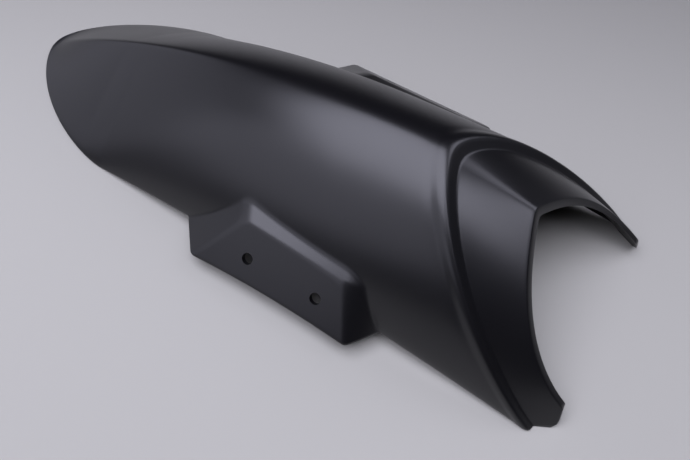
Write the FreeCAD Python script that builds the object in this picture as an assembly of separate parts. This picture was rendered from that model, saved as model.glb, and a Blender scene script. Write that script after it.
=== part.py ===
import FreeCAD, Part
import math
import os

from FreeCAD import Vector

# Front fender extension: one thin moulded shell that carries the fender on over the wheel.
# X runs along the part, from the tip of the tongue at -X to the end flange at +X.
# Y runs across it, and Z is up. The origin is on the surface that the rim rests on, midway
# along the part and midway across it. All sizes are in millimetres.

# Wall
wall = 3.0
body_crown_wall = 1.08 * wall
rim_edge_height = 1.2

# Centre ridge, a circle arc seen from the side
ridge_apex_x = 100.0
ridge_apex_height = 79.5
ridge_radius = 552.0

# Plan outline
tongue_tip_x = -185.8
tongue_tip_half_width = 2.0
tongue_root_x = -92.8
tongue_root_half_width = 61.2
tongue_tip_height = 1.3
tongue_outline_power = 1.55
body_end_half_width = 66.6

# Arched rim, a circle arc seen from the side that touches the table at both ends
rim_arch_start_x = -92.8
rim_arch_end_x = 175.0
rim_arch_rise = 10.3

# Roundness of the cross-section: 1 is a tent and 2 is an ellipse
tongue_roundness = 1.12
body_roundness = 1.50
crest_roundness = 1.60
roundness_start_x = -110.0
roundness_length = 145.0
crest_roundness_start_x = 35.0

# Crest, where the body ends in an inclined plane above the step
crest_top_x = 88.4
crest_foot_x = 175.8
lean_start_x = -60.0
lean_growth = 1.6
parallel_zone = 9.0
bead_width = 8.0
bead_rise = 1.1
crest_edge_radius = 1.6
step_foot_radius = 1.6

# Hollow under the tongue, which ends in the thicker tip
hollow_tip_x = -174.0

# End flange below the step
flange_start_top_x = 94.2
flange_start_height = 75.0
flange_start_foot_x = 178.2
flange_start_half_width = 63.2
flange_start_across = 1.40
flange_start_upright = 1.65
flange_end_top_x = 127.6
flange_end_height = 66.5
flange_end_foot_x = 195.4
flange_end_half_width = 53.5
flange_end_across = 1.10
flange_end_upright = 2.30
flange_crown_wall = 1.44 * wall

# Cut at the end of the flange, seen from the side
cut_top_x = 131.5
cut_top_height = 66.0
cut_tip_x = 183.9
cut_tip_height = 11.5
cut_hollow = 2.5
heel_x = 185.8
heel_radius = 3.5

# Boss for two bolts on each side, with the face that leans inwards
boss_face_lean = 43.5
boss_face_foot_y = 81.6
boss_face_foot_height = 9.0
boss_face_top_height = 31.8
boss_foot_left_x = -9.6
boss_foot_right_x = 85.4
boss_top_left_x = 12.2
boss_top_right_x = 71.4
boss_left_low_run_back = 0.693
boss_left_top_run_back = 0.363
boss_right_low_run_back = 0.274
boss_right_top_run_back = 1.300
boss_top_slope = 28.0
boss_edge_radius = 3.2
boss_root_y = 41.0

# Bolt holes, square to the boss face
hole_diameter = 6.0
hole_spacing = 40.0
hole_centre_x = 41.75
hole_height = 20.2

# Construction reach, past the finished surfaces
skirt = 12.0
reach = 60.0

# Sections of the smooth forms: how many, and how far each form runs on inside its neighbour
arch_steps = 6
tongue_sections = 8
body_sections = 6
crest_strips = 5
flange_start_overlap = 0.25
hollow_start_overlap = 0.36
flange_end_overlap = 0.45


def ridge_height(x):
    """Height of the centre ridge, on its circle arc."""
    return ridge_apex_height - ridge_radius + math.sqrt(ridge_radius ** 2 - (x - ridge_apex_x) ** 2)


def rim_arch_radius():
    """Radius of the rim's arc, from its rise and its span."""
    half_span = 0.5 * (rim_arch_end_x - rim_arch_start_x)
    return (half_span ** 2 + rim_arch_rise ** 2) / (2.0 * rim_arch_rise)


def rim_height(x):
    """Height of the rim above the table: zero along the tongue, arched along the body."""
    middle = 0.5 * (rim_arch_start_x + rim_arch_end_x)
    if x <= rim_arch_start_x or x >= rim_arch_end_x:
        return 0.0
    radius = rim_arch_radius()
    return rim_arch_rise - radius + math.sqrt(radius ** 2 - (x - middle) ** 2)


def half_width(x):
    """Half the plan width: a rounded tongue, then a body that widens evenly."""
    if x < tongue_root_x:
        part = (tongue_root_x - x) / (tongue_root_x - tongue_tip_x)
        power = tongue_outline_power
        rounded = (1.0 - min(part, 1.0) ** power) ** (1.0 / power)
        return tongue_tip_half_width + (tongue_root_half_width - tongue_tip_half_width) * rounded
    widening = (body_end_half_width - tongue_root_half_width) / (crest_foot_x - tongue_root_x)
    return tongue_root_half_width + widening * (x - tongue_root_x)


def roundness(x):
    """Roundness of the section whose top is at x."""
    body_part = min(max((x - roundness_start_x) / roundness_length, 0.0), 1.0)
    value = tongue_roundness + (body_roundness - tongue_roundness) * math.sin(0.5 * math.pi * body_part)
    crest_part = max((x - crest_roundness_start_x) / (crest_top_x - crest_roundness_start_x), 0.0)
    return value + (crest_roundness - body_roundness) * crest_part ** 2


def foot_x(top_x):
    """Where the plane of a section meets the rim: upright on the tongue, inclined at the crest."""
    if top_x <= lean_start_x:
        return top_x
    part = min((top_x - lean_start_x) / (crest_top_x - parallel_zone - lean_start_x), 1.0)
    return top_x + (crest_foot_x - crest_top_x) * part ** lean_growth


def arch_points(top, foot, half, across, upright):
    """Points of an arch from rim to rim: |y/half|^across + |height/full height|^upright = 1."""
    points = []
    for step in range(-arch_steps, arch_steps + 1):
        turn = 0.5 * math.pi * step / arch_steps
        y = half * math.copysign(abs(math.sin(turn)) ** (2.0 / across), turn)
        drop = 1.0
        if abs(step) < arch_steps:
            drop = 1.0 - math.cos(turn) ** (2.0 / upright)
        points.append(Vector(top.x + drop * (foot.x - top.x), y, top.z + drop * (foot.z - top.z)))
    return points


def arch_places():
    """Places along an arch from 0 to 1, the same for every section, by the spacing of a body arch."""
    top = Vector(0.0, 0.0, ridge_apex_height)
    points = arch_points(top, Vector(0.0, 0.0, 0.0), tongue_root_half_width, body_roundness, body_roundness)
    places = [0.0]
    for start, end in zip(points, points[1:]):
        places.append(places[-1] + start.distanceToPoint(end))
    return [place / places[-1] for place in places]


def closed_section(points, top, foot):
    """Closed wire of an arch, with its legs carried down below the table in the arch's own plane."""
    down = (foot - top) * ((foot.z + skirt) / (top.z - foot.z))
    arch = Part.BSplineCurve()
    arch.interpolate(Points=points, Parameters=arch_places())
    left, right = points[0], points[-1]
    left_low, right_low = left + down, right + down
    edges = [
        arch.toShape(),
        Part.LineSegment(right, right_low).toShape(),
        Part.LineSegment(right_low, left_low).toShape(),
        Part.LineSegment(left_low, left).toShape(),
    ]
    return Part.Wire(edges)


def body_section(top_x, swell=0.0):
    """Section of the body's outer form, whose top is on the ridge at top_x."""
    low_x = foot_x(top_x)
    foot = Vector(low_x, 0.0, rim_height(low_x) + rim_edge_height)
    top = Vector(top_x, 0.0, max(ridge_height(top_x), tongue_tip_height))
    top = top - (foot - top) * (swell / (top.z - foot.z))
    power = roundness(top_x)
    points = arch_points(top, foot, half_width(low_x) + swell, power, power)
    return closed_section(points, top, foot)


def body_hollow_section(top_x):
    """Section of the hollow under the body: one wall inside the outer form."""
    low_x = foot_x(top_x)
    foot = Vector(low_x, 0.0, rim_height(low_x) + rim_edge_height)
    height = ridge_height(top_x) - foot.z
    half = half_width(low_x)
    tent_part = (body_roundness - min(roundness(top_x), body_roundness)) / (body_roundness - tongue_roundness)
    side_wall = wall * (1.0 + tent_part * (math.hypot(1.0, half / height) - 1.0))
    top = Vector(top_x, 0.0, ridge_height(top_x))
    slide = (foot - top) * (body_crown_wall / height)
    power = roundness(top_x)
    points = arch_points(top + slide, foot, half - side_wall, power, power)
    return closed_section(points, top + slide, foot)


def between(start, end, part):
    """Value at a part of the way from start to end, also past either of them."""
    return start + (end - start) * part


def flange_section(part, side_wall=0.0, crown_wall=0.0):
    """Section of the flange, at a part of the way from its start arch to its end arch."""
    top = Vector(between(flange_start_top_x, flange_end_top_x, part), 0.0,
                 between(flange_start_height, flange_end_height, part))
    foot = Vector(between(flange_start_foot_x, flange_end_foot_x, part), 0.0, 0.0)
    top = top + (foot - top) * (crown_wall / top.z)
    half = between(flange_start_half_width, flange_end_half_width, part) - side_wall
    across = between(flange_start_across, flange_end_across, part)
    upright = between(flange_start_upright, flange_end_upright, part)
    return closed_section(arch_points(top, foot, half, across, upright), top, foot)


def smooth_form(sections):
    """Smooth solid through closed sections."""
    return Part.makeLoft(sections, True, False)


def tongue_places(start_x):
    """Places of the tongue's sections: close together at its rounded tip, wider apart at its root."""
    length = tongue_root_x - start_x
    return [start_x + length * (step / tongue_sections) ** 2 for step in range(tongue_sections + 1)]


def body_places():
    """Places of the body's sections, evenly from the tongue's root to where they turn parallel."""
    length = crest_top_x - parallel_zone - tongue_root_x
    return [tongue_root_x + length * step / body_sections for step in range(1, body_sections + 1)]


def side_profile(edges):
    """Solid of a side-view profile, right across the part."""
    face = Part.Face(Part.Wire(edges))
    face.translate(Vector(0.0, -2.0 * reach, 0.0))
    return face.extrude(Vector(0.0, 4.0 * reach, 0.0))


def line(start, end):
    return Part.LineSegment(start, end).toShape()


def arc(start, middle, end):
    return Part.Arc(start, middle, end).toShape()


def ground():
    """All that lies below the table or below the arched rim."""
    low = -2.0 * skirt
    far_left = tongue_tip_x - reach
    far_right = heel_x + reach
    middle = 0.5 * (rim_arch_start_x + rim_arch_end_x)
    start = Vector(rim_arch_start_x, 0.0, 0.0)
    end = Vector(rim_arch_end_x, 0.0, 0.0)
    edges = [
        line(Vector(far_left, 0.0, 0.0), start),
        arc(start, Vector(middle, 0.0, rim_arch_rise), end),
        line(end, Vector(far_right, 0.0, 0.0)),
        line(Vector(far_right, 0.0, 0.0), Vector(far_right, 0.0, low)),
        line(Vector(far_right, 0.0, low), Vector(far_left, 0.0, low)),
        line(Vector(far_left, 0.0, low), Vector(far_left, 0.0, 0.0)),
    ]
    return side_profile(edges)


def end_cut():
    """All that lies past the flange's end: a slightly hollow slope, then a rounded heel."""
    top = Vector(cut_top_x, 0.0, cut_top_height)
    tip = Vector(cut_tip_x, 0.0, cut_tip_height)
    slope = tip - top
    square = Vector(slope.z, 0.0, -slope.x).normalize()
    middle = (top + tip) * 0.5 + square * cut_hollow
    above = top - slope * 0.4
    heel_start = Vector(heel_x, 0.0, heel_radius)
    heel_end = Vector(heel_x - heel_radius, 0.0, 0.0)
    heel_bend = Vector(heel_x - heel_radius * (1.0 - math.sqrt(0.5)), 0.0,
                       heel_radius * (1.0 - math.sqrt(0.5)))
    below = Vector(heel_end.x, 0.0, -2.0 * skirt)
    far_low = Vector(heel_x + reach, 0.0, below.z)
    far_high = Vector(heel_x + reach, 0.0, above.z)
    edges = [
        line(above, top),
        arc(top, middle, tip),
        line(tip, heel_start),
        arc(heel_start, heel_bend, heel_end),
        line(heel_end, below),
        line(below, far_low),
        line(far_low, far_high),
        line(far_high, above),
    ]
    return side_profile(edges)


def meeting_point(planes):
    """Point where three planes meet, each given as a point on it and its unit normal."""
    (p1, n1), (p2, n2), (p3, n3) = planes
    total = n2.cross(n3) * p1.dot(n1) + n3.cross(n1) * p2.dot(n2) + n1.cross(n2) * p3.dot(n3)
    return total * (1.0 / n1.dot(n2.cross(n3)))


def boss_face_normal():
    lean = math.radians(boss_face_lean)
    return Vector(0.0, -math.cos(lean), math.sin(lean))


def boss_face_point(x, height):
    """Point on the face of the boss on the -Y side, at a height above the table."""
    inward = (height - boss_face_foot_height) * math.tan(math.radians(boss_face_lean))
    return Vector(x, -boss_face_foot_y + inward, height)


def end_wall(corner, edge, run_back, rise, inset):
    """Plane of a boss's end wall at one corner of its face, moved in by inset."""
    normal = Vector(run_back, 1.0, rise).cross(edge).normalize()
    if normal.x * run_back < 0.0:
        normal = normal * -1.0
    return (corner - normal * inset, normal)


def boss_form(inset, edge_radius):
    """The boss on the -Y side as a block with twisted ends, moved in by inset on every face."""
    face_normal = boss_face_normal()
    foot_left = boss_face_point(boss_foot_left_x, boss_face_foot_height)
    foot_right = boss_face_point(boss_foot_right_x, boss_face_foot_height)
    top_left = boss_face_point(boss_top_left_x, boss_face_top_height)
    top_right = boss_face_point(boss_top_right_x, boss_face_top_height)
    left_edge = top_left - foot_left
    right_edge = top_right - foot_right
    slope = math.radians(boss_top_slope)
    rise = math.tan(slope)
    top_normal = Vector(0.0, -math.sin(slope), math.cos(slope))
    top = (top_left - top_normal * inset, top_normal)
    low = (Vector(0.0, 0.0, -skirt), Vector(0.0, 0.0, -1.0))
    corner_planes = [
        (low, end_wall(foot_left, left_edge, -boss_left_low_run_back, 0.0, inset)),
        (low, end_wall(foot_right, right_edge, boss_right_low_run_back, 0.0, inset)),
        (top, end_wall(top_right, right_edge, boss_right_top_run_back, rise, inset)),
        (top, end_wall(top_left, left_edge, -boss_left_top_run_back, rise, inset)),
    ]
    face = (foot_left - face_normal * inset, face_normal)
    root = (Vector(0.0, -boss_root_y, 0.0), Vector(0.0, 1.0, 0.0))
    ends = []
    for plane in (face, root):
        corners = [meeting_point(pair + (plane,)) for pair in corner_planes]
        ends.append(Part.makePolygon(corners + corners[:1]))
    block = Part.makeLoft(ends, True, True)
    if edge_radius > 0.0:
        rounded = []
        for edge in block.Edges:
            middle = edge.valueAt(0.5 * (edge.FirstParameter + edge.LastParameter))
            above = middle.z > boss_face_foot_height - skirt
            if above and middle.y < -boss_root_y - wall:
                rounded.append(edge)
        block = block.makeFillet(edge_radius, rounded)
    return block


def mirrored(shape):
    return shape.mirror(Vector(0.0, 0.0, 0.0), Vector(0.0, 1.0, 0.0))


def bolt_hole(x):
    """Drill through one wall of the boss on the -Y side, square to its face."""
    normal = boss_face_normal()
    centre = boss_face_point(x, hole_height)
    return Part.makeCylinder(0.5 * hole_diameter, 4.0 * wall, centre + normal * wall, normal * -1.0)


def crest_form():
    """The bead: strips that swell gently up to the crest, then turn over it in a quarter round."""
    lean = math.atan2(ridge_height(crest_top_x), crest_foot_x - crest_top_x)
    round_length = crest_edge_radius / math.sin(lean)
    start_x = crest_top_x - bead_width
    length = bead_width - round_length
    sections = []
    for step in range(crest_strips):
        share = step / crest_strips
        swell = bead_rise * 0.5 * (1.0 - math.cos(math.pi * share))
        sections.append(body_section(start_x + length * share, swell))
    for step in range(crest_strips + 1):
        turn = 0.5 * math.pi * step / crest_strips
        swell = bead_rise - crest_edge_radius * (1.0 - math.cos(turn))
        sections.append(body_section(start_x + length + round_length * math.sin(turn), swell))
    return Part.makeLoft(sections, True, True)


def beyond_crest(x, height):
    """Distance of a point on the centre plane from the crest's plane, on the flange's side."""
    rise = ridge_height(crest_top_x) - rim_edge_height
    run = crest_foot_x - crest_top_x
    return ((x - crest_foot_x) * rise + (height - rim_edge_height) * run) / math.hypot(rise, run)


def step_foot_form():
    """Strips that turn from the step's face into the flange in a hollow quarter round."""
    top_start = beyond_crest(flange_start_top_x, flange_start_height)
    foot_start = beyond_crest(flange_start_foot_x, 0.0)
    top_end = beyond_crest(flange_end_top_x, flange_end_height)
    foot_end = beyond_crest(flange_end_foot_x, 0.0)
    start = 0.5 * (top_start + foot_start)
    length = 0.5 * (top_end + foot_end) - start
    bend = [(-step_foot_radius, step_foot_radius)]
    for step in range(crest_strips + 1):
        turn = 0.5 * math.pi * step / crest_strips
        bend.append((step_foot_radius * (1.0 - math.cos(turn)), step_foot_radius * (1.0 - math.sin(turn))))
    bend.append((1.5 * step_foot_radius, -0.1 * step_foot_radius))
    sections = [flange_section((away - start) / length, -out, -out) for away, out in bend]
    return Part.makeLoft(sections, True, True)


def flange_sections(side_wall, crown_wall, start_overlap):
    """Sections of the flange or of its hollow, from inside the step to past the cut."""
    parts = (-start_overlap, 0.0, 0.5, 1.0, 1.0 + flange_end_overlap)
    return [flange_section(part, side_wall, crown_wall) for part in parts]


def outer_form():
    """The whole outer surface as a solid: tongue and body, bead, flange and both bosses."""
    places = tongue_places(tongue_tip_x) + body_places()
    body = smooth_form([body_section(x) for x in places + [crest_top_x - bead_width]])
    flange = smooth_form(flange_sections(0.0, 0.0, flange_start_overlap))
    boss = boss_form(0.0, boss_edge_radius)
    return body.fuse([crest_form(), flange, step_foot_form(), boss, mirrored(boss)])


def inner_form():
    """The hollow under the shell as a solid: one wall inside every outer surface."""
    slant = math.hypot(1.0, (crest_foot_x - crest_top_x) / ridge_height(crest_top_x))
    places = tongue_places(hollow_tip_x) + body_places() + [crest_top_x - wall * slant]
    body = smooth_form([body_hollow_section(x) for x in places])
    flange = smooth_form(flange_sections(wall, flange_crown_wall, hollow_start_overlap))
    pocket = boss_form(wall, 0.0)
    return body.fuse([flange, pocket, mirrored(pocket)])


def fender_extension():
    """The moulded shell, trimmed at the rim and at the flange's end, with its bolt holes."""
    shell = outer_form().cut(inner_form())
    shell = shell.cut(ground()).cut(end_cut())
    for side in (-0.5, 0.5):
        hole = bolt_hole(hole_centre_x + side * hole_spacing)
        shell = shell.cut(hole).cut(mirrored(hole))
    return shell


def main():
    os.makedirs("parts", exist_ok=True)
    fender_extension().exportStep("parts/fender_extension.step")


if __name__ == "__main__":
    main()
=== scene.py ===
import math

import bmesh
import bpy
import numpy as np
from mathutils import Matrix, Vector


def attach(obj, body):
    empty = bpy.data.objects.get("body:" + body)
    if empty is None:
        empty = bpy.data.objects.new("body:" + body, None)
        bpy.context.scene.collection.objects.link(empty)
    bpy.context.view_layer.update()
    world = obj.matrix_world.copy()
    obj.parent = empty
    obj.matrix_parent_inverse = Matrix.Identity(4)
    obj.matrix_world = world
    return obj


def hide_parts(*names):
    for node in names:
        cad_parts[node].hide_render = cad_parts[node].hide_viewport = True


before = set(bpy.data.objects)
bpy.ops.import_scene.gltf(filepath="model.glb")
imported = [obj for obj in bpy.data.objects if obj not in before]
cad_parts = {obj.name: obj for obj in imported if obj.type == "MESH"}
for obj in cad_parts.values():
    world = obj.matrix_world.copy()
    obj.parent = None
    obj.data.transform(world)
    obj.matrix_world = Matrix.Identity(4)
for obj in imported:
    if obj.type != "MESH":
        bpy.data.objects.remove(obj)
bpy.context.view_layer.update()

# Sizes of the shell in millimetres, the same as in the construction
MM = 0.001
WALL = 3.0
RIM_EDGE = 1.2
EDGE_ROUND = 0.45
RIDGE_APEX_X = 100.0
RIDGE_APEX_HEIGHT = 79.5
RIDGE_RADIUS = 552.0
RIDGE_SOFTNESS = 3.0
TIP_X = -185.8
TIP_HALF_WIDTH = 2.0
ROOT_X = -92.8
ROOT_HALF_WIDTH = 61.2
OUTLINE_POWER = 1.55
END_HALF_WIDTH = 66.6
ARCH_START_X = -92.8
ARCH_END_X = 175.0
ARCH_RISE = 10.3
TONGUE_ROUNDNESS = 1.12
BODY_ROUNDNESS = 1.50
CREST_ROUNDNESS = 1.60
ROUNDNESS_START_X = -110.0
ROUNDNESS_LENGTH = 145.0
CREST_ROUNDNESS_START_X = 35.0
CREST_TOP_X = 88.4
CREST_FOOT_X = 175.8
LEAN_START_X = -60.0
LEAN_GROWTH = 1.6
PARALLEL_ZONE = 9.0
HOLLOW_START_X = -174.0
FLANGE_RIM_EDGE = 0.5
CREST_ROUND_BACK = 4.5
CREST_ROUND_DOWN = 2.0
STEP_FOOT_ROUND = 0.9
HOLLOW_ROUND = 1.8
CROWN_WALL = 1.08 * WALL
LEAST_HEIGHT = 0.1

# Grids: lines on half a section, the rows by the tip, and the body's stretches as (end place, rows)
HALF_LINES = 100
TIP_ROWS = np.array([0.0, 0.25, 0.6, 1.1, 1.8, 2.7, 3.8, 5.1, 6.6, 8.3, 10.2])
BOSS_ZONE_START_X = -33.0
BOSS_ZONE_END_X = 48.0
BODY_STRETCHES = (
    (ROOT_X, 41),
    (BOSS_ZONE_START_X, 33),
    (BOSS_ZONE_END_X, 155),
    (CREST_TOP_X - PARALLEL_ZONE, 28),
    (CREST_TOP_X - CREST_ROUND_BACK, 12),
)
CORNER_ROWS = 6
STEP_ROWS = 3
FLANGE_ROWS = 24
TYPICAL_HEIGHT = 70.0
TYPICAL_HALF_WIDTH = 64.0
ARCH_STEPS = 2001
FINE_BELOW_HEIGHT = 30.0
FINE_SHARE = 2.4
MOST_OF_WAY = 0.45
LEAST_LENGTH = 1e-9
HALVINGS = 40

# Bead along the crest: a low swelling with a faint valley before it
BEAD_RISE = 0.5
BEAD_LENGTH = 5.0
VALLEY_DEPTH = 0.12
VALLEY_PLACE = 8.5
VALLEY_LENGTH = 2.5

# End flange: its start and end arches, as (top x, top height, foot x, half width, across, upright)
FLANGE_START = np.array([94.2, 74.0, 177.5, 62.7, 1.59, 1.57])
FLANGE_END = np.array([127.6, 66.5, 195.4, 53.5, 1.10, 2.30])
FLANGE_CROWN_WALL = 1.44 * WALL
FLANGE_LENGTH = 38.0
FLANGE_FIRST_PART = 0.07
HOLLOW_START_PART = -0.2
HOLLOW_FIRST_PART = -0.13
FARTHEST_PART = 1.6
CUT_TOP = np.array([131.5, 66.0])
CUT_TIP = np.array([183.9, 11.5])
CUT_HOLLOW = 2.5
HEEL_X = 185.8
HEEL_RADIUS = 3.5

# Boss for two bolts on each side
FACE_LEAN = math.radians(43.5)
FACE_FOOT_Y = 81.6
FACE_FOOT_HEIGHT = 9.0
FACE_TOP_HEIGHT = 31.8
FOOT_LEFT_X = -9.6
FOOT_RIGHT_X = 85.4
TOP_LEFT_X = 12.2
TOP_RIGHT_X = 71.4
LEFT_RUN_BACK = (0.693, 0.363)
RIGHT_RUN_BACK = (0.274, 1.300)
TOP_SLOPE = math.radians(28.0)
TOP_EDGE_FALL = 1.3
TOP_RISE = (0.44, 0.62)
ROOT_Y = 41.0
SKIRT = 12.0
HUB_Y = 30.0
FACE_TOP_SOFTNESS = 0.4
FACE_END_SOFTNESS = 1.4
TOP_LEFT_SOFTNESS = 2.6
TOP_RIGHT_SOFTNESS = 7.0
TOP_WIDTH = 6.0
BOSS_FOOT_SOFTNESS = 0.8
END_WALL_SQUARENESS = 0.55
END_WALL_ROUNDS = 6
BACK_LIMITS = (-0.5, 2.0)
ALONG_LIMITS = (-0.5, 1.5)
BOSS_REACH = 90.0
BOSS_HALVINGS = 24
BESIDE_HUB = 8.0
BESIDE_ENDS = 40.0
HOLE_DIAMETER = 6.0
HOLE_SPACING = 40.0
HOLE_CENTRE_X = 41.75
HOLE_HEIGHT = 20.2
HOLE_SIDES = 64
DRILL_DEPTH = 3.0 * WALL
MERGE_DISTANCE = 1e-6
THINNEST_EDGE = 1e-7
CRISP_ANGLE = 55.0

# Plastic: base colour, gloss, and the sizes in metres of its grain and of the gloss's drift
PLASTIC_COLOUR = (0.0032, 0.0031, 0.0038, 1.0)
PLASTIC_ROUGHNESS = 0.31
ROUGHNESS_DRIFT = 0.05
ROUGHNESS_GRAIN = 0.06
GRAIN_SIZE = 0.0005
GRAIN_DEPTH = 0.00001
DRIFT_SIZE = 0.04

# Floor, in metres: pale near the part, with painted shade that makes it dimmer with the distance beyond it,
# standing in for the light falling off there
FLOOR_SIZE = 6.0
FLOOR_ROUGHNESS = 0.9
FLOOR_COLOUR = (0.335, 0.33, 0.30, 1.0)
# Painted shade: the far floor colour stands in for less light away from the lamps, and it also darkens the
# floor seen in the part's gloss
FLOOR_PAINTED_SHADE_COLOUR = (0.10, 0.098, 0.091, 1.0)
PAINTED_SHADE_WAY = (-0.30, 0.954, 0.0)
PAINTED_SHADE_START = -0.10
PAINTED_SHADE_END = 0.50

# Numbers of the Mix node's sockets for its share, its two colours and their result
MIX_SHARE, MIX_FIRST, MIX_SECOND, MIX_RESULT = 0, 6, 7, 2

# Camera, as recovered from the photo: place in millimetres, angles in degrees, focal length in widths
CAMERA_PLACE = (136.98, -176.57, 298.84)
CAMERA_BEARING = 119.808
CAMERA_PITCH = 58.897
CAMERA_ROLL = -2.66
CAMERA_FOCUS = 640.0 / 690.0
SENSOR_WIDTH = 36.0
SURROUND_COLOUR = (0.5, 0.5, 0.52, 1.0)
SURROUND_STRENGTH = 0.02

# Studio light: a dome of softboxes, each as (name, elevation, bearing, width, height, watts)
LAMP_DISTANCE = 1.1
LAMP_COLOUR = (0.97, 0.97, 1.16)
SOFTBOXES = (
    ("overhead", 75.0, 228.0, 1.15, 1.15, 16.5),
    ("beyond", 64.0, 350.0, 0.50, 0.50, 2.4),
    ("fill_left", 19.0, 184.0, 1.40, 0.70, 1.7),
    ("fill_near", 31.0, 240.0, 1.20, 0.80, 2.8),
    ("fill_far", 41.0, 48.0, 0.70, 0.70, 3.2),
)


def ridge_height(x):
    """Height of the centre ridge: a circle arc seen from the side."""
    return RIDGE_APEX_HEIGHT - RIDGE_RADIUS + np.sqrt(RIDGE_RADIUS ** 2 - (x - RIDGE_APEX_X) ** 2)


def rim_height(x):
    """Height of the rim: a circle arc between its two ends on the table, and zero outside them."""
    half_span = 0.5 * (ARCH_END_X - ARCH_START_X)
    radius = (half_span ** 2 + ARCH_RISE ** 2) / (2.0 * ARCH_RISE)
    offset = np.clip(x - 0.5 * (ARCH_START_X + ARCH_END_X), -half_span, half_span)
    return ARCH_RISE - radius + np.sqrt(radius ** 2 - offset ** 2)


def half_width(x):
    """Half the plan width: a superellipse along the tongue, then an even widening."""
    part = np.clip((ROOT_X - x) / (ROOT_X - TIP_X), 0.0, 1.0)
    rounded = (1.0 - part ** OUTLINE_POWER) ** (1.0 / OUTLINE_POWER)
    tongue = TIP_HALF_WIDTH + (ROOT_HALF_WIDTH - TIP_HALF_WIDTH) * rounded
    widening = (END_HALF_WIDTH - ROOT_HALF_WIDTH) / (CREST_FOOT_X - ROOT_X)
    return np.where(x < ROOT_X, tongue, ROOT_HALF_WIDTH + widening * (x - ROOT_X))


def roundness(x):
    """Power of the section's superellipse: a sine from tongue to body, then a square to the crest."""
    body = np.clip((x - ROUNDNESS_START_X) / ROUNDNESS_LENGTH, 0.0, 1.0)
    crest = np.clip((x - CREST_ROUNDNESS_START_X) / (CREST_TOP_X - CREST_ROUNDNESS_START_X), 0.0, None)
    value = TONGUE_ROUNDNESS + (BODY_ROUNDNESS - TONGUE_ROUNDNESS) * np.sin(0.5 * np.pi * body)
    return value + (CREST_ROUNDNESS - BODY_ROUNDNESS) * crest ** 2


def foot_x(top_x):
    """Where a section's plane meets the rim: upright on the tongue, inclined at the crest."""
    part = np.clip((top_x - LEAN_START_X) / (CREST_TOP_X - PARALLEL_ZONE - LEAN_START_X), 0.0, 1.0)
    return top_x + (CREST_FOOT_X - CREST_TOP_X) * part ** LEAN_GROWTH


def arch(top_x, top_z, low_x, low_z, half, across, upright, turn):
    """Points on arches |y/half|^across + |height/full height|^upright = 1, one row for each station.

    turn runs from -90 degrees at one rim to +90 degrees at the other, in radians. Near the
    crown the fall is lessened by |y| over the hypotenuse of y and the ridge's softness.
    """
    side = half * np.abs(np.sin(turn)) ** (2.0 / across)
    softened = side / np.hypot(side, RIDGE_SOFTNESS)
    fall = 1.0 - np.clip(np.cos(turn), 0.0, 1.0) ** (2.0 / upright)
    drop = fall * (softened + (1.0 - softened) * fall)
    x = top_x + drop * (low_x - top_x)
    z = top_z + drop * (low_z - top_z)
    return np.stack([x, np.sign(turn) * side, z], axis=-1)


def body_arches(top_x, turn, swell):
    """Outer surface of the tongue and body, with the bead's swell outwards along each arch's plane."""
    low_x = foot_x(top_x)
    low_z = rim_height(low_x) + RIM_EDGE
    top_z = np.maximum(ridge_height(top_x), low_z + LEAST_HEIGHT)
    power = roundness(top_x)
    lift = swell / (top_z - low_z)
    return arch(top_x - lift * (low_x - top_x), top_z + swell, low_x, low_z,
                half_width(low_x) + swell, power, power, turn)


def hollow_arches(top_x, turn):
    """Surface of the hollow under the body, one wall inside the outer surface."""
    low_x = foot_x(top_x)
    low_z = rim_height(low_x) + RIM_EDGE
    height = ridge_height(top_x) - low_z
    half = half_width(low_x)
    power = roundness(top_x)
    tent = (BODY_ROUNDNESS - np.minimum(power, BODY_ROUNDNESS)) / (BODY_ROUNDNESS - TONGUE_ROUNDNESS)
    side_wall = WALL * (1.0 + tent * (np.hypot(1.0, half / height) - 1.0))
    slide = CROWN_WALL / height
    return arch(top_x + slide * (low_x - top_x), ridge_height(top_x) - CROWN_WALL, low_x, low_z,
                half - side_wall, power, power, turn)


def flange_arches(part, turn, side_wall, crown_wall):
    """Arches of the flange at parts of the way along it, moved in by a wall at sides and crown."""
    start, end = FLANGE_START, FLANGE_END
    top_x, top_z, low_x, half, across, upright = (start[i] + (end[i] - start[i]) * part for i in range(6))
    low_z = FLANGE_RIM_EDGE
    low_x = low_x - low_z * (low_x - top_x) / top_z
    slide = crown_wall / (top_z - low_z)
    return arch(top_x + slide * (low_x - top_x), top_z - crown_wall, low_x, low_z,
                half - side_wall, across, upright, turn)


def past_cut(points):
    """True where a point lies past the flange's cut: a hollow arc, a line to the heel, a round heel."""
    x, z = points[..., 0], points[..., 2]
    chord = CUT_TIP - CUT_TOP
    length = math.hypot(*chord)
    radius = (0.25 * length ** 2 + CUT_HOLLOW ** 2) / (2.0 * CUT_HOLLOW)
    square = np.array([-chord[1], chord[0]]) / length
    centre = 0.5 * (CUT_TOP + CUT_TIP) + square * (radius - CUT_HOLLOW)
    on_arc = centre[1] - np.sqrt(np.maximum(radius ** 2 - (x - centre[0]) ** 2, 0.0))
    on_line = CUT_TIP[1] + (x - CUT_TIP[0]) * (HEEL_RADIUS - CUT_TIP[1]) / (HEEL_X - CUT_TIP[0])
    past = np.where(x < CUT_TIP[0], z > on_arc, z > on_line) | (x > HEEL_X)
    from_heel = np.hypot(x - (HEEL_X - HEEL_RADIUS), z - HEEL_RADIUS)
    in_heel = (x > HEEL_X - HEEL_RADIUS) & (z < HEEL_RADIUS)
    return past | (in_heel & (from_heel > HEEL_RADIUS))


def cut_part(turn, side_wall, crown_wall):
    """For each line along the flange, the part of the way at which it meets the cut, by halving."""
    low, high = np.zeros(len(turn)), np.full(len(turn), FARTHEST_PART)
    for _ in range(HALVINGS):
        middle = 0.5 * (low + high)
        past = past_cut(flange_arches(middle, turn, side_wall, crown_wall))
        high = np.where(past, middle, high)
        low = np.where(past, low, middle)
    return low


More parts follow.
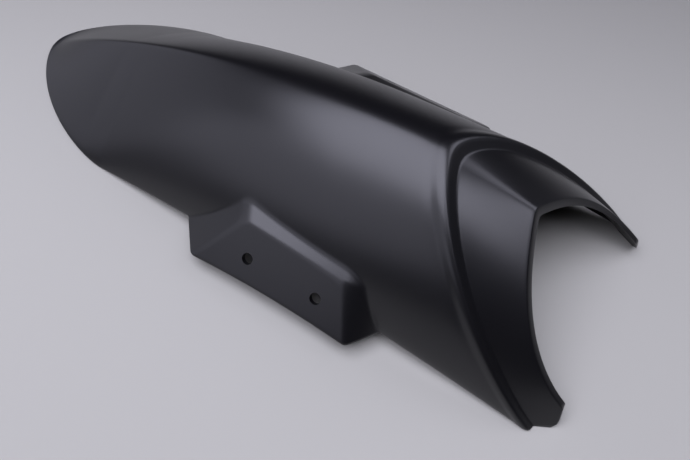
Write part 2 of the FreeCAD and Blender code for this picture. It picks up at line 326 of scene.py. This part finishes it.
def rounded_corner(before, corner, after, count):
    """Rows on a quadratic curve from before, by corner, to after, without the first row."""
    share = (np.arange(count) + 1.0)[:, None, None] / count
    return (1 - share) ** 2 * before + 2 * share * (1 - share) * corner + share ** 2 * after


def towards(start, end, distance):
    """Points at a distance from start on the way to end, always before the middle of the way."""
    way = end - start
    length = np.linalg.norm(way, axis=-1, keepdims=True)
    return start + way * np.minimum(distance / np.maximum(length, LEAST_LENGTH), MOST_OF_WAY)


def straight_rows(start, end, count):
    """Rows on straight lines from start to end, without the first row."""
    share = (np.arange(count) + 1.0)[:, None, None] / count
    return start + (end - start) * share


def section_turns():
    """Turns of the lines along the shell: close together low down, by the bosses, and even above."""
    fine = np.linspace(0.0, 0.5 * np.pi, ARCH_STEPS)
    half_arch = arch(0.0, TYPICAL_HEIGHT, 0.0, 0.0, TYPICAL_HALF_WIDTH,
                     BODY_ROUNDNESS, BODY_ROUNDNESS, fine)
    steps = np.linalg.norm(np.diff(half_arch, axis=0), axis=1)
    steps = steps * np.where(half_arch[1:, 2] < FINE_BELOW_HEIGHT, FINE_SHARE, 1.0)
    run = np.concatenate([[0.0], np.cumsum(steps)])
    half = np.interp(np.linspace(0.0, run[-1], HALF_LINES + 1), run, fine)
    return np.concatenate([-half[:0:-1], half])


def body_stations():
    """Places of the body's rows along the ridge: close by the tip and the bosses, wider between."""
    rows = [TIP_X + TIP_ROWS]
    for end_x, count in BODY_STRETCHES:
        rows.append(np.linspace(rows[-1][-1], end_x, count + 1)[1:])
    return np.concatenate(rows)


def bead_swell(top_x):
    """Height of the bead over the skin: a bell at the crest, less a smaller bell before it."""
    back = CREST_TOP_X - top_x
    bell = BEAD_RISE * np.exp(-(back / BEAD_LENGTH) ** 2)
    return bell - VALLEY_DEPTH * np.exp(-((back - VALLEY_PLACE) / VALLEY_LENGTH) ** 2)


def outer_grid(turn):
    """Rows of the outer surface from the tip to just before the cut, and the row on the cut."""
    stations = body_stations()[:, None]
    body = body_arches(stations, turn, bead_swell(stations))
    crest = body_arches(np.array([[CREST_TOP_X]]), turn, BEAD_RISE)[0]
    start = flange_arches(0.0, turn, 0.0, 0.0)
    first = flange_arches(FLANGE_FIRST_PART, turn, 0.0, 0.0)
    crest_end = towards(crest, start, CREST_ROUND_DOWN)
    foot_begin = towards(start, crest, STEP_FOOT_ROUND)
    foot_end = towards(start, first, STEP_FOOT_ROUND)
    reach = cut_part(turn, 0.0, 0.0)
    on_cut = flange_arches(reach, turn, 0.0, 0.0)
    share = np.linspace(0.0, 1.0, FLANGE_ROWS)[:, None]
    stop = reach - EDGE_ROUND / FLANGE_LENGTH
    flange = flange_arches(FLANGE_FIRST_PART + (stop - FLANGE_FIRST_PART) * share, turn, 0.0, 0.0)
    rows = np.concatenate([
        body,
        rounded_corner(body[-1], crest, crest_end, CORNER_ROWS),
        straight_rows(crest_end, foot_begin, STEP_ROWS),
        rounded_corner(foot_begin, start, foot_end, CORNER_ROWS),
        flange,
    ])
    return rows, on_cut


def inner_grid(turn):
    """Rows of the hollow's surface, one for each row of the outer grid, and the row on the cut."""
    stations = body_stations()
    tongue = stations < ROOT_X
    squeeze = (ROOT_X - HOLLOW_START_X) / (ROOT_X - TIP_X)
    stations = np.where(tongue, ROOT_X + (stations - ROOT_X) * squeeze, stations)
    crest_wall = WALL * math.hypot(1.0, (CREST_FOOT_X - CREST_TOP_X) / RIDGE_APEX_HEIGHT)
    zone = CREST_TOP_X - PARALLEL_ZONE
    closing = (PARALLEL_ZONE - crest_wall - HOLLOW_ROUND) / (PARALLEL_ZONE - CREST_ROUND_BACK)
    stations = np.where(stations > zone, zone + (stations - zone) * closing, stations)
    body = hollow_arches(stations[:, None], turn)
    crest = hollow_arches(np.array([[CREST_TOP_X - crest_wall]]), turn)[0]
    walls = (WALL, FLANGE_CROWN_WALL)
    start = flange_arches(HOLLOW_START_PART, turn, *walls)
    first = flange_arches(HOLLOW_FIRST_PART, turn, *walls)
    crest_end = towards(crest, start, HOLLOW_ROUND)
    foot_begin = towards(start, crest, HOLLOW_ROUND)
    foot_end = towards(start, first, HOLLOW_ROUND)
    reach = cut_part(turn, *walls)
    on_cut = flange_arches(reach, turn, *walls)
    share = np.linspace(0.0, 1.0, FLANGE_ROWS)[:, None]
    stop = reach - EDGE_ROUND / FLANGE_LENGTH
    flange = flange_arches(HOLLOW_FIRST_PART + (stop - HOLLOW_FIRST_PART) * share, turn, *walls)
    rows = np.concatenate([
        body,
        rounded_corner(body[-1], crest, crest_end, CORNER_ROWS),
        straight_rows(crest_end, foot_begin, STEP_ROWS),
        rounded_corner(foot_begin, start, foot_end, CORNER_ROWS),
        flange,
    ])
    return rows, on_cut


def lower_of(first, second, softness):
    """The lower of two values, rounded over where they are within softness of each other."""
    near = np.maximum(softness - np.abs(first - second), 0.0)
    return np.minimum(first, second) - near ** 2 / (4.0 * softness)


def end_wall_x(y, z, foot_x_at, top_x_at, run_back, side):
    """Where a boss's twisted end wall lies at y and z: ruled from the face's edge to the root line.

    up is the share of the way from the skirt to the top, and back the share from face to root.
    The two are found from y and z by a few rounds of substitution.
    """
    lean = math.tan(FACE_LEAN)
    face_rise = FACE_TOP_HEIGHT + SKIRT
    edge_slope = (top_x_at - foot_x_at) / (FACE_TOP_HEIGHT - FACE_FOOT_HEIGHT)
    low_y = -FACE_FOOT_Y - (FACE_FOOT_HEIGHT + SKIRT) * lean
    top_y = low_y + face_rise * lean
    low_x = foot_x_at - (FACE_FOOT_HEIGHT + SKIRT) * edge_slope
    root_rise = face_rise + (-ROOT_Y - top_y) * math.tan(TOP_SLOPE)
    root_low_x = low_x + side * run_back[0] * (-ROOT_Y - low_y)
    root_top_x = top_x_at + side * run_back[1] * (-ROOT_Y - top_y)
    back = np.zeros_like(y)
    for _ in range(END_WALL_ROUNDS):
        up = (z + SKIRT) / (face_rise + (root_rise - face_rise) * back)
        face_y = low_y + up * (top_y - low_y)
        back = np.clip((y - face_y) / np.maximum(-ROOT_Y - face_y, 1.0), *BACK_LIMITS)
    at_face = low_x + up * (top_x_at - low_x)
    at_root = root_low_x + up * (root_top_x - root_low_x)
    return (1.0 - back) * at_face + back * at_root


def depth_in_boss(x, y, z):
    """How deep a point lies in the boss on the -Y side: below zero outside, rounded at the edges."""
    top_y = -FACE_FOOT_Y + (FACE_TOP_HEIGHT - FACE_FOOT_HEIGHT) * math.tan(FACE_LEAN)
    face = (y + FACE_FOOT_Y) * math.cos(FACE_LEAN) - (z - FACE_FOOT_HEIGHT) * math.sin(FACE_LEAN)
    along = (x - TOP_LEFT_X) / (TOP_RIGHT_X - TOP_LEFT_X)
    edge = FACE_TOP_HEIGHT + TOP_EDGE_FALL * (0.5 - along)
    slope = TOP_RISE[0] + (TOP_RISE[1] - TOP_RISE[0]) * np.clip(along, *ALONG_LIMITS)
    top = (edge + slope * (y - top_y) - z) / np.hypot(1.0, slope)
    left_x = end_wall_x(y, z, FOOT_LEFT_X, TOP_LEFT_X, LEFT_RUN_BACK, -1.0)
    right_x = end_wall_x(y, z, FOOT_RIGHT_X, TOP_RIGHT_X, RIGHT_RUN_BACK, 1.0)
    left = END_WALL_SQUARENESS * (x - left_x)
    right = END_WALL_SQUARENESS * (right_x - x)
    behind = np.clip((y - top_y) / TOP_WIDTH, 0.0, 1.0)
    right_softness = FACE_END_SOFTNESS + (TOP_RIGHT_SOFTNESS - FACE_END_SOFTNESS) * behind
    back = lower_of(lower_of(top, right, right_softness), left, TOP_LEFT_SOFTNESS)
    front = lower_of(face, np.minimum(left, right), FACE_END_SOFTNESS)
    return lower_of(front, back, FACE_TOP_SOFTNESS)


def with_bosses(points, inset):
    """Pushes a surface out to the bosses: each point moves on its ray from a hub line inside.

    Across the part, a ray runs from the hub to the point. Halving finds where the ray leaves the
    boss, and the point goes to the farther of skin and boss, rounded where the two meet.
    """
    x, y, z = points[..., 0], -np.abs(points[..., 1]), points[..., 2]
    hub_z = rim_height(x) + RIM_EDGE
    out, up = y + HUB_Y, z - hub_z
    radius = np.hypot(out, up)
    out, up = out / radius, up / radius
    near, far = np.zeros_like(x), np.full_like(x, BOSS_REACH)
    for _ in range(BOSS_HALVINGS):
        middle = 0.5 * (near + far)
        inside = depth_in_boss(x, middle * out - HUB_Y, hub_z + middle * up) > inset
        near = np.where(inside, middle, near)
        far = np.where(inside, far, middle)
    farther = -lower_of(-radius, -near, BOSS_FOOT_SOFTNESS)
    beside = (y < -HUB_Y - BESIDE_HUB) & (near > 1.0)
    beside &= (x > FOOT_LEFT_X - BESIDE_ENDS) & (x < FOOT_RIGHT_X + BESIDE_ENDS)
    side = np.where(points[..., 1] < 0.0, 1.0, -1.0)
    result = points.copy()
    result[..., 1] = np.where(beside, side * (farther * out - HUB_Y), points[..., 1])
    result[..., 2] = np.where(beside, hub_z + farther * up, points[..., 2])
    return result


def grid_faces(rows, lines, first):
    """Corner numbers of a grid's four-sided faces."""
    number = first + np.arange(rows * lines).reshape(rows, lines)
    corners = [number[:-1, :-1], number[:-1, 1:], number[1:, 1:], number[1:, :-1]]
    return np.stack(corners, axis=-1).reshape(-1, 4)


def around(grid):
    """The border of a grid as one closed loop: tip row, one side, end row, other side."""
    return np.concatenate([grid[0, :-1], grid[:-1, -1], grid[-1, :0:-1], grid[:0:-1, 0]])


def on_table(points):
    """Points dropped straight down to the rim's level."""
    dropped = points.copy()
    dropped[..., 2] = rim_height(points[..., 0])
    return dropped


def shell_mesh():
    """The closed shell: a fine outer grid, a coarser inner grid and a rounded rim between them.

    The rim's edges are rounded by one row each, at the middle of a quadratic curve around the edge.
    Every second row and line of the inner grid is kept, so the rim's last loop, which has twice as
    many points as the inner border, meets it in a band of triangles.
    """
    turn = section_turns()
    outer, outer_cut = outer_grid(turn)
    inner, inner_cut = inner_grid(turn)
    body_rows = len(body_stations())
    outer[:body_rows] = with_bosses(outer[:body_rows], 0.0)
    inner[:body_rows] = with_bosses(inner[:body_rows], WALL)
    outer_base, inner_base = on_table(outer), on_table(inner)
    outer_base[-1], inner_base[-1] = outer_cut, inner_cut
    for base in (outer_base, inner_base):
        base[-1, 0, 2] = 0.0
        base[-1, -1, 2] = 0.0
    rim_outer, rim_inner = around(outer), around(inner)
    base_outer, base_inner = around(outer_base), around(inner_base)
    flat_outer = towards(base_outer, base_inner, EDGE_ROUND)
    flat_inner = towards(base_inner, base_outer, EDGE_ROUND)
    bend_outer = 0.25 * rim_outer + 0.5 * base_outer + 0.25 * flat_outer
    bend_inner = 0.25 * rim_inner + 0.5 * base_inner + 0.25 * flat_inner
    coarse = inner[::2, ::2]

    points = [outer.reshape(-1, 3), bend_outer, flat_outer, flat_inner, bend_inner, coarse.reshape(-1, 3)]
    counts = np.cumsum([0] + [len(group) for group in points])
    fours = [grid_faces(*outer.shape[:2], 0), grid_faces(*coarse.shape[:2], counts[5])[:, ::-1]]
    loops = [around(np.arange(counts[1]).reshape(outer.shape[:2]))]
    loops += [np.arange(counts[i], counts[i + 1]) for i in (1, 2, 3, 4)]
    for upper, lower in zip(loops[:-1], loops[1:]):
        fours.append(np.stack([upper, lower, np.roll(lower, -1), np.roll(upper, -1)], axis=-1))
    last = loops[-1]
    inner_loop = around(counts[5] + np.arange(coarse.shape[0] * coarse.shape[1]).reshape(coarse.shape[:2]))
    even, odd, ahead = last[0::2], last[1::2], np.roll(last, -1)[1::2]
    inner_ahead = np.roll(inner_loop, -1)
    threes = np.concatenate([
        np.stack([even, inner_loop, odd], axis=-1),
        np.stack([odd, inner_loop, inner_ahead], axis=-1),
        np.stack([odd, inner_ahead, ahead], axis=-1),
    ])
    return np.concatenate(points), np.concatenate(fours), threes


def mesh_object(name, points, fours, threes):
    """A smooth mesh object in metres from points in millimetres and its four- and three-sided faces."""
    mesh = bpy.data.meshes.new(name)
    corners = np.concatenate([fours.reshape(-1), threes.reshape(-1)]).astype(np.int32)
    sides = np.concatenate([np.full(len(fours), 4), np.full(len(threes), 3)]).astype(np.int32)
    mesh.vertices.add(len(points))
    mesh.vertices.foreach_set("co", (points * MM).astype(np.float32).ravel())
    mesh.loops.add(len(corners))
    mesh.loops.foreach_set("vertex_index", corners)
    mesh.polygons.add(len(sides))
    mesh.polygons.foreach_set("loop_start", np.concatenate([[0], np.cumsum(sides)[:-1]]).astype(np.int32))
    mesh.update(calc_edges=True)
    made = bpy.data.objects.new(name, mesh)
    bpy.context.scene.collection.objects.link(made)
    return made


def outward(piece):
    """Merges doubles and turns every face outwards."""
    work = bmesh.new()
    work.from_mesh(piece.data)
    bmesh.ops.remove_doubles(work, verts=work.verts, dist=MERGE_DISTANCE)
    bmesh.ops.dissolve_degenerate(work, edges=work.edges, dist=THINNEST_EDGE)
    bmesh.ops.recalc_face_normals(work, faces=work.faces)
    work.to_mesh(piece.data)
    work.free()


def drill():
    """The four bolt holes as closed rods, square to the boss faces, with their caps as fans."""
    angle = 2.0 * np.pi * np.arange(HOLE_SIDES) / HOLE_SIDES
    normal = np.array([0.0, -math.cos(FACE_LEAN), math.sin(FACE_LEAN)])
    along = np.array([1.0, 0.0, 0.0])
    up = np.cross(normal, along)
    ring = 0.5 * HOLE_DIAMETER * (np.cos(angle)[:, None] * along + np.sin(angle)[:, None] * up)
    face_y = -FACE_FOOT_Y + (HOLE_HEIGHT - FACE_FOOT_HEIGHT) * math.tan(FACE_LEAN)
    rods = []
    for x in (HOLE_CENTRE_X - 0.5 * HOLE_SPACING, HOLE_CENTRE_X + 0.5 * HOLE_SPACING):
        centre = np.array([x, face_y, HOLE_HEIGHT])
        rod = np.concatenate([centre + ring + normal * WALL, centre + ring - normal * DRILL_DEPTH])
        rods += [rod, rod * np.array([1.0, -1.0, 1.0])]
    number = np.arange(HOLE_SIDES)
    ahead = np.roll(number, -1)
    wall = np.stack([number, ahead, ahead + HOLE_SIDES, number + HOLE_SIDES], axis=-1)
    fan = np.stack([np.zeros_like(number[2:]), number[1:-1], number[2:]], axis=-1)
    caps = np.concatenate([fan[:, ::-1], fan + HOLE_SIDES])
    first = 2 * HOLE_SIDES * np.arange(len(rods))[:, None, None]
    tool = mesh_object("drill", np.concatenate(rods),
                       (wall + first).reshape(-1, 4), (caps + first).reshape(-1, 3))
    outward(tool)
    return tool


def cut_holes(piece):
    """Cuts the bolt holes into the piece."""
    tool = drill()
    cut = piece.modifiers.new("bolt_holes", "BOOLEAN")
    cut.operation = "DIFFERENCE"
    cut.solver = "EXACT"
    cut.object = tool
    bpy.context.view_layer.update()
    evaluated = piece.evaluated_get(bpy.context.evaluated_depsgraph_get())
    mesh = bpy.data.meshes.new_from_object(evaluated)
    piece.modifiers.clear()
    piece.data = mesh
    bpy.data.objects.remove(tool)


def smooth_with_edges(piece, degrees):
    """Smooth shading, with edges sharper than an angle in degrees left crisp."""
    piece.data.polygons.foreach_set("use_smooth", np.ones(len(piece.data.polygons), bool))
    piece.data.set_sharp_from_angle(angle=math.radians(degrees))


class Wire:
    """A value in a material: the operators on it add Math nodes, also with plain numbers."""

    def __init__(self, tree, socket=None):
        self.tree, self.socket = tree, socket

    def node(self, kind, settings, inputs, output):
        """Adds a node: its settings are set first, then its sockets get values or links."""
        made = self.tree.nodes.new(kind)
        for name, value in settings.items():
            setattr(made, name, value)
        for name, value in inputs.items():
            if isinstance(value, Wire):
                self.tree.links.new(value.socket, made.inputs[name])
            else:
                made.inputs[name].default_value = value
        return Wire(self.tree, made.outputs[output])

    def maths(self, operation, first, second):
        """Adds a Math node for an operation on two values."""
        return self.node("ShaderNodeMath", {"operation": operation}, {0: first, 1: second}, "Value")

    def __add__(self, other):
        return self.maths("ADD", self, other)

    def __radd__(self, other):
        return self.maths("ADD", other, self)

    def __sub__(self, other):
        return self.maths("SUBTRACT", self, other)

    def __rsub__(self, other):
        return self.maths("SUBTRACT", other, self)

    def __mul__(self, other):
        return self.maths("MULTIPLY", self, other)

    def __rmul__(self, other):
        return self.maths("MULTIPLY", other, self)

    def into(self, shader, name):
        """Feeds this value to one of the shader's sockets."""
        self.tree.links.new(self.socket, shader.inputs[name])


def new_material(name):
    """A material with its shader and a Wire for adding nodes."""
    material = bpy.data.materials.new(name)
    material.use_nodes = True
    return material, material.node_tree.nodes["Principled BSDF"], Wire(material.node_tree)


def black_plastic():
    """Satin charcoal plastic: a very fine moulded grain, and a gloss that varies a little over the part."""
    material, shader, wire = new_material("satin_black_plastic")
    shader.inputs["Base Color"].default_value = PLASTIC_COLOUR
    place = wire.node("ShaderNodeTexCoord", {}, {}, "Object")
    grain = wire.node("ShaderNodeTexNoise", {},
                      {"Vector": place, "Scale": 1.0 / GRAIN_SIZE, "Detail": 1.0}, "Fac")
    drift = wire.node("ShaderNodeTexNoise", {},
                      {"Vector": place, "Scale": 1.0 / DRIFT_SIZE, "Detail": 2.0}, "Fac")
    roughness = PLASTIC_ROUGHNESS + (drift - 0.5) * ROUGHNESS_DRIFT + (grain - 0.5) * ROUGHNESS_GRAIN
    roughness.into(shader, "Roughness")
    bump = wire.node("ShaderNodeBump", {},
                     {"Height": grain, "Strength": 1.0, "Distance": GRAIN_DEPTH}, "Normal")
    bump.into(shader, "Normal")
    return material


def make_shell():
    """The piece: the drilled shell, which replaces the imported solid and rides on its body."""
    points, fours, threes = shell_mesh()
    shell = mesh_object("shell", points, fours, threes)
    outward(shell)
    cut_holes(shell)
    smooth_with_edges(shell, CRISP_ANGLE)
    shell.data.materials.clear()
    shell.data.materials.append(black_plastic())
    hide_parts("fender_extension")
    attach(shell, "root")


def make_floor():
    """A plain pale floor, whose colour gets dimmer by a smooth step along the way beyond the part: painted
    shade for the light falling off there.
    """
    mesh = bpy.data.meshes.new("floor")
    corners = [(across * FLOOR_SIZE, along * FLOOR_SIZE, 0.0)
               for across, along in ((-1, -1), (1, -1), (1, 1), (-1, 1))]
    mesh.from_pydata(corners, [], [(0, 1, 2, 3)])
    floor = bpy.data.objects.new("floor", mesh)
    bpy.context.scene.collection.objects.link(floor)
    material, shader, wire = new_material("pale_floor")
    shader.inputs["Roughness"].default_value = FLOOR_ROUGHNESS
    place = wire.node("ShaderNodeTexCoord", {}, {}, "Object")
    away = wire.node("ShaderNodeVectorMath", {"operation": "DOT_PRODUCT"},
                     {0: place, 1: PAINTED_SHADE_WAY}, "Value")
    # Painted shade: a smooth step darkens the floor's colour beyond the part, in place of less light there
    painted_shade = wire.node("ShaderNodeMapRange", {"interpolation_type": "SMOOTHSTEP"},
                    {"Value": away, "From Min": PAINTED_SHADE_START, "From Max": PAINTED_SHADE_END}, "Result")
    colour = wire.node("ShaderNodeMix", {"data_type": "RGBA"},
                       {MIX_SHARE: painted_shade, MIX_FIRST: FLOOR_COLOUR, MIX_SECOND: FLOOR_PAINTED_SHADE_COLOUR},
                       MIX_RESULT)
    colour.into(shader, "Base Color")
    mesh.materials.append(material)


def make_camera():
    """The photo's camera: it looks along its bearing, pitched down and rolled about the view."""
    data = bpy.data.cameras.new("camera")
    data.sensor_width = SENSOR_WIDTH
    data.lens = CAMERA_FOCUS * SENSOR_WIDTH
    bearing, pitch, roll = (math.radians(angle) for angle in (CAMERA_BEARING, CAMERA_PITCH, CAMERA_ROLL))
    ahead = Vector((math.cos(bearing), math.sin(bearing), 0.0))
    right = Vector((math.sin(bearing), -math.cos(bearing), 0.0))
    forward = ahead * math.cos(pitch) + Vector((0.0, 0.0, -math.sin(pitch)))
    up = right.cross(forward)
    turned_right = right * math.cos(roll) - up * math.sin(roll)
    turned_up = right * math.sin(roll) + up * math.cos(roll)
    place = Vector(CAMERA_PLACE) * MM
    camera = bpy.data.objects.new("camera", data)
    turn = Matrix((turned_right, turned_up, -forward)).transposed()
    camera.matrix_world = Matrix.Translation(place) @ turn.to_4x4()
    bpy.context.scene.collection.objects.link(camera)
    bpy.context.scene.camera = camera


def make_softbox(name, elevation, bearing, width, height, watts):
    """An area lamp on a dome around the object, at an elevation and a bearing in degrees, aimed at it."""
    data = bpy.data.lights.new(name, "AREA")
    data.shape = "ELLIPSE"
    data.size, data.size_y = width, height
    data.energy = watts
    data.color = LAMP_COLOUR
    rise, way = math.radians(elevation), math.radians(bearing)
    level = math.cos(rise)
    place = Vector((level * math.cos(way), level * math.sin(way), math.sin(rise))) * LAMP_DISTANCE
    lamp = bpy.data.objects.new(name, data)
    lamp.location = place
    lamp.rotation_mode = "QUATERNION"
    lamp.rotation_quaternion = (-place).to_track_quat("-Z", "Y")
    bpy.context.scene.collection.objects.link(lamp)


def make_world():
    """A faint even grey all round."""
    world = bpy.data.worlds.new("studio")
    world.use_nodes = True
    background = world.node_tree.nodes["Background"]
    background.inputs["Color"].default_value = SURROUND_COLOUR
    background.inputs["Strength"].default_value = SURROUND_STRENGTH
    bpy.context.scene.world = world


make_shell()
make_floor()
make_camera()
make_world()
for softbox in SOFTBOXES:
    make_softbox(*softbox)
bpy.context.scene.view_settings.view_transform = "Standard"
